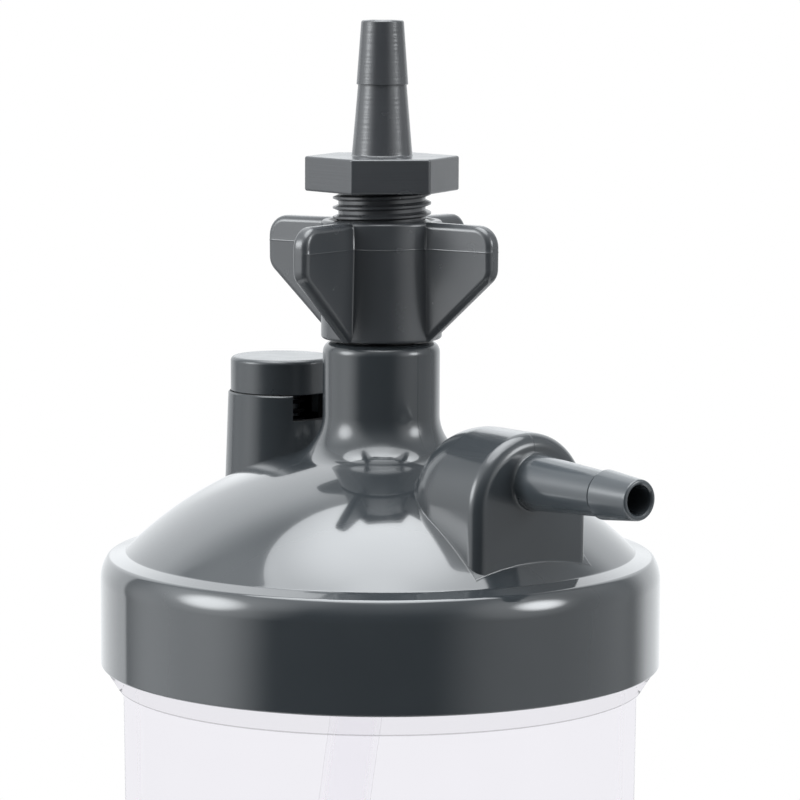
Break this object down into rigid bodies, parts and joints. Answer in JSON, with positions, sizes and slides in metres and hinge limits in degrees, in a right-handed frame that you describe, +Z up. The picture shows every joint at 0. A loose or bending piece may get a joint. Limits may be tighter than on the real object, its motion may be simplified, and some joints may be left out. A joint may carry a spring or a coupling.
{
  "type": "oxygen humidifier bottle",
  "caption": "Clear water bottle with a domed grey screw cap, a captive wing nut and barbed hose adapter on top, a barbed outlet at the side and a spring relief valve; bubbles gas through water.",
  "frame": {"origin": "middle of the bottle's base, on the surface it stands on", "axes": "+Z up along the bottle's axis, +X along the outlet nozzle, away from the bottle"},
  "size_m": [0.0967, 0.0814, 0.2182],
  "materials": {
    "clear_plastic": "clear, slightly milky, polished",
    "cap_plastic": "dark grey, high gloss",
    "fitting_plastic": "dark grey, satin",
    "silicone": "translucent silicone, matte",
    "black_rubber": "matte",
    "spring_steel": "dark blued spring wire",
    "black_plastic": "black, matte",
    "tube_plastic": "clear tube",
    "porous_plastic": "porous, white"
  },
  "bodies": {
    "bottle": {"bottle": "clear_plastic"},
    "gasket": {"cap_gasket": "silicone"},
    "cap": {"cap": "cap_plastic", "inlet_stem": "fitting_plastic", "stem_o_ring": "black_rubber", "seal_washer": "silicone", "relief_lid": "cap_plastic", "relief_spring": "spring_steel", "dip_tube": "tube_plastic", "bubble_diffuser": "porous_plastic"},
    "nut": {"wing_nut": "fitting_plastic"},
    "adapter": {"hose_adapter": "fitting_plastic"},
    "valve": {"relief_poppet": "black_plastic", "relief_seal": "black_rubber"}
  },
  "joints": [
    {"name": "cap_lift", "type": "slide", "parent": "bottle", "child": "gasket", "axis": [0, 0, 1], "range_m": [0, 0.005]},
    {"name": "cap_turn", "type": "hinge", "parent": "gasket", "child": "cap", "pos_m": [0, 0, 0.125], "axis": [0, 0, 1], "range_deg": [0, 450]},
    {"name": "wing_nut_turn", "type": "hinge", "parent": "cap", "child": "nut", "pos_m": [0, 0, 0.172], "axis": [0, 0, -1], "range_deg": [0, 2340]},
    {"name": "adapter_lift", "type": "slide", "parent": "cap", "child": "adapter", "axis": [0, 0, 1], "range_m": [0, 0.00917]},
    {"name": "relief_lift", "type": "slide", "parent": "cap", "child": "valve", "axis": [0, 0, 1], "range_m": [0, 0.002], "stiffness_N_per_m": 200, "springref_m": -0.00375, "deforming": ["relief_spring"]}
  ],
  "couplings": [
    {"joint": "cap_lift", "follows": "cap_turn", "m_per_rad": 0.00063662},
    {"joint": "adapter_lift", "follows": "wing_nut_turn", "m_per_rad": 0.00022457}
  ]
}
